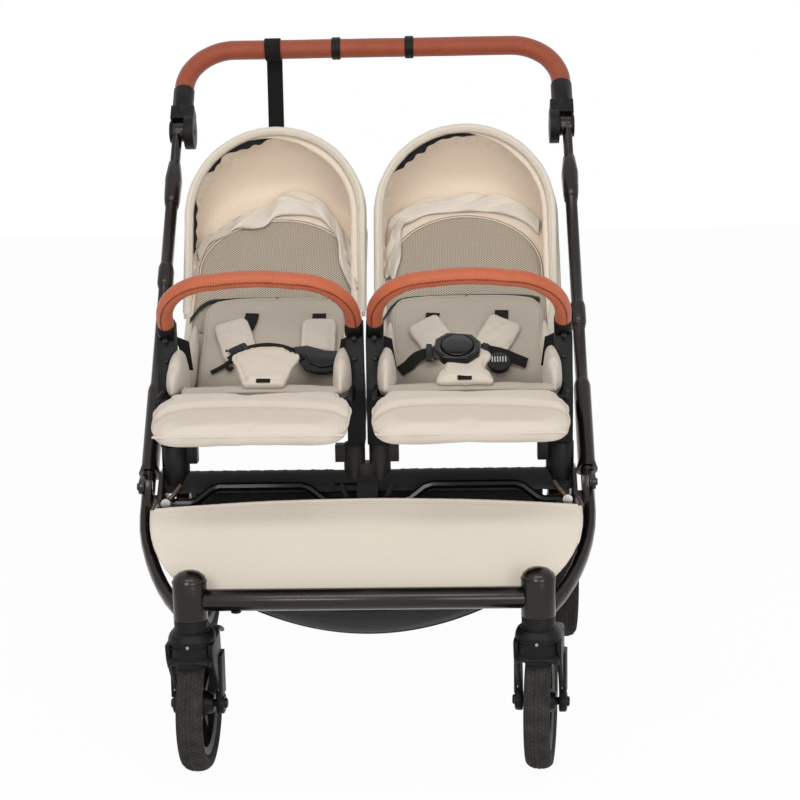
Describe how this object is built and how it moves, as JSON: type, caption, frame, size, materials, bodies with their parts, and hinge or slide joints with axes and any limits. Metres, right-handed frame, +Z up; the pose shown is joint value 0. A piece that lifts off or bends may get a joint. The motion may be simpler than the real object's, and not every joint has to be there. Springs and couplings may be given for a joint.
{
  "type": "double stroller",
  "caption": "Side by side double stroller: two reclining hooded seats docked on a folding chassis with swivel casters, basket and a wide adjustable handle.",
  "frame": {"origin": "middle of the bounding box's base, on the floor under the stroller", "axes": "+Z up, -Y is the front where the casters are, +X to the right as seen from the front"},
  "size_m": [0.709, 0.8408, 1.0789],
  "materials": {
    "black_button": "gloss black",
    "black_knuckle_plastic": "fine grained black plastic",
    "black_nylon": "fine grained black nylon",
    "black_polyester": "black woven polyester",
    "black_rim": "satin black rim",
    "black_webbing": "black webbing",
    "brown_leatherette": "brown leatherette wrap",
    "cream_twill": "cream woven cloth",
    "dark_grey_pedal": "ribbed dark grey",
    "gloss_black_tube": "gloss black",
    "grey_beige_jersey": "grey-beige knitted liner",
    "grey_nylon": "grey moulded nylon",
    "grey_spacer_mesh": "grey spacer mesh",
    "satin_black_aluminium": "satin black anodised tube",
    "tan_leatherette": "tan leatherette sleeve",
    "tyre_rubber": "matt black tread"
  },
  "bodies": {
    "chassis": {"front_crossbar": "satin_black_aluminium", "caster_housing_left": "satin_black_aluminium", "caster_housing_right": "satin_black_aluminium", "side_tube_left": "satin_black_aluminium", "side_tube_right": "satin_black_aluminium", "seat_crossbar": "black_polyester", "arched_tube": "gloss_black_tube", "centre_adapter": "grey_nylon", "outer_adapter_left": "grey_nylon", "outer_adapter_right": "grey_nylon", "basket_front_panel": "cream_twill", "basket": "black_polyester"},
    "rear_frame": {"rear_leg_left": "satin_black_aluminium", "rear_leg_right": "satin_black_aluminium", "rear_axle": "satin_black_aluminium"},
    "brake": {"brake_pedal": "dark_grey_pedal"},
    "push_frame": {"push_tube_left": "satin_black_aluminium", "push_tube_right": "satin_black_aluminium"},
    "height_stems": {"height_stem_left": "satin_black_aluminium", "height_stem_right": "satin_black_aluminium"},
    "handle": {"handle_knuckle_left": "black_knuckle_plastic", "handle_knuckle_right": "black_knuckle_plastic", "handle_grip": "brown_leatherette"},
    "strap": {"handle_strap": "black_webbing"},
    "caster_left": {"caster_fork_left": "satin_black_aluminium"},
    "front_wheel_left": {"front_tyre_left": "tyre_rubber", "front_rim_left": "black_rim"},
    "rear_wheel_left": {"rear_tyre_left": "tyre_rubber", "rear_rim_left": "black_rim"},
    "seat_left": {"seat_frame_left": "black_nylon", "seat_cover_left": "grey_beige_jersey", "crotch_pad_left": "cream_twill", "buckle_left": "gloss_black_tube"},
    "button_left": {"buckle_button_left": "black_button"},
    "calf_left": {"calf_rest_left": "cream_twill"},
    "backrest_left": {"backrest_panel_left": "grey_spacer_mesh", "backrest_pad_left": "grey_beige_jersey", "hood_rear_left": "cream_twill", "shoulder_pad_left_left": "cream_twill", "shoulder_pad_right_left": "cream_twill"},
    "hood_left": {"hood_front_left": "cream_twill"},
    "bumper_left": {"bumper_bar_left": "tan_leatherette"},
    "caster_right": {"caster_fork_right": "satin_black_aluminium"},
    "front_wheel_right": {"front_tyre_right": "tyre_rubber", "front_rim_right": "black_rim"},
    "rear_wheel_right": {"rear_tyre_right": "tyre_rubber", "rear_rim_right": "black_rim"},
    "seat_right": {"seat_frame_right": "black_nylon", "seat_cover_right": "grey_beige_jersey", "crotch_pad_right": "cream_twill", "buckle_right": "gloss_black_tube"},
    "button_right": {"buckle_button_right": "black_button"},
    "calf_right": {"calf_rest_right": "cream_twill"},
    "backrest_right": {"backrest_panel_right": "grey_spacer_mesh", "backrest_pad_right": "grey_beige_jersey", "hood_rear_right": "cream_twill", "shoulder_pad_left_right": "cream_twill", "shoulder_pad_right_right": "cream_twill"},
    "hood_right": {"hood_front_right": "cream_twill"},
    "bumper_right": {"bumper_bar_right": "tan_leatherette"}
  },
  "joints": [
    {"name": "chassis_fold", "type": "hinge", "parent": "chassis", "child": "push_frame", "pos_m": [0, -0.20458, 0.40214], "axis": [1, 0, 0], "range_deg": [0, 140]},
    {"name": "rear_fold", "type": "hinge", "parent": "chassis", "child": "rear_frame", "pos_m": [0, -0.14842, 0.365], "axis": [-1, 0, 0], "range_deg": [0, 70]},
    {"name": "handle_height", "type": "slide", "parent": "push_frame", "child": "height_stems", "axis": [0, 0.6347, 0.7727], "range_m": [-0.035, 0.1]},
    {"name": "handle_angle", "type": "hinge", "parent": "height_stems", "child": "handle", "pos_m": [0, 0.25551, 0.91973], "axis": [1, 0, 0], "range_deg": [-60, 25]},
    {"name": "strap_swing", "type": "hinge", "parent": "handle", "child": "strap", "pos_m": [0, 0.36977, 1.05882], "axis": [1, 0, 0], "range_deg": [-25, 60]},
    {"name": "brake_press", "type": "hinge", "parent": "rear_frame", "child": "brake", "pos_m": [0, 0.30208, 0.1503], "axis": [-1, 0, 0], "range_deg": [0, 18]},
    {"name": "caster_swivel_left", "type": "hinge", "parent": "chassis", "child": "caster_left", "pos_m": [-0.251, -0.36342, 0.245], "axis": [0, 0, 1], "continuous": true},
    {"name": "front_spin_left", "type": "hinge", "parent": "caster_left", "child": "front_wheel_left", "pos_m": [-0.24942, -0.32045, 0.1], "axis": [0.9993, -0.0366, 0], "continuous": true},
    {"name": "rear_spin_left", "type": "hinge", "parent": "rear_frame", "child": "rear_wheel_left", "pos_m": [-0.328, 0.27808, 0.1423], "axis": [1, 0, 0], "continuous": true},
    {"name": "seat_lift_left", "type": "slide", "parent": "chassis", "child": "seat_left", "axis": [0, 0, 1], "range_m": [0, 0.12]},
    {"name": "calf_tilt_left", "type": "hinge", "parent": "seat_left", "child": "calf_left", "pos_m": [-0.158, -0.28342, 0.548], "axis": [1, 0, 0], "range_deg": [-20, 60]},
    {"name": "backrest_recline_left", "type": "hinge", "parent": "seat_left", "child": "backrest_left", "pos_m": [-0.158, -0.09342, 0.5], "axis": [1, 0, 0], "range_deg": [-25, 20]},
    {"name": "hood_swing_left", "type": "hinge", "parent": "backrest_left", "child": "hood_left", "pos_m": [-0.158, 0.05752, 0.63121], "axis": [1, 0, 0], "range_deg": [-12, 60]},
    {"name": "bumper_pull_left", "type": "slide", "parent": "seat_left", "child": "bumper_left", "axis": [0, -0.6769, 0.7361], "range_m": [0, 0.06]},
    {"name": "button_press_left", "type": "slide", "parent": "seat_left", "child": "button_left", "axis": [0, -0.5043, 0.8635], "range_m": [0, 0.0015], "stiffness_N_per_m": 600, "springref_m": -0.0005},
    {"name": "caster_swivel_right", "type": "hinge", "parent": "chassis", "child": "caster_right", "pos_m": [0.251, -0.36342, 0.245], "axis": [0, 0, 1], "continuous": true},
    {"name": "front_spin_right", "type": "hinge", "parent": "caster_right", "child": "front_wheel_right", "pos_m": [0.25661, -0.32079, 0.1], "axis": [0.9914, -0.1305, 0], "continuous": true},
    {"name": "rear_spin_right", "type": "hinge", "parent": "rear_frame", "child": "rear_wheel_right", "pos_m": [0.328, 0.27808, 0.1423], "axis": [1, 0, 0], "continuous": true},
    {"name": "seat_lift_right", "type": "slide", "parent": "chassis", "child": "seat_right", "axis": [0, 0, 1], "range_m": [0, 0.12]},
    {"name": "calf_tilt_right", "type": "hinge", "parent": "seat_right", "child": "calf_right", "pos_m": [0.158, -0.28342, 0.548], "axis": [1, 0, 0], "range_deg": [-20, 60]},
    {"name": "backrest_recline_right", "type": "hinge", "parent": "seat_right", "child": "backrest_right", "pos_m": [0.158, -0.09342, 0.5], "axis": [1, 0, 0], "range_deg": [-25, 20]},
    {"name": "hood_swing_right", "type": "hinge", "parent": "backrest_right", "child": "hood_right", "pos_m": [0.158, 0.05752, 0.63121], "axis": [1, 0, 0], "range_deg": [-12, 60]},
    {"name": "bumper_pull_right", "type": "slide", "parent": "seat_right", "child": "bumper_right", "axis": [0, -0.6769, 0.7361], "range_m": [0, 0.06]},
    {"name": "button_press_right", "type": "slide", "parent": "seat_right", "child": "button_right", "axis": [0, 0.5043, -0.8635], "range_m": [0, 0.0015], "stiffness_N_per_m": 600, "springref_m": -0.0005}
  ],
  "couplings": [
    {"joint": "rear_fold", "follows": "chassis_fold", "ratio": 0.5},
    {"joint": "strap_swing", "follows": "handle_angle", "ratio": -1}
  ]
}
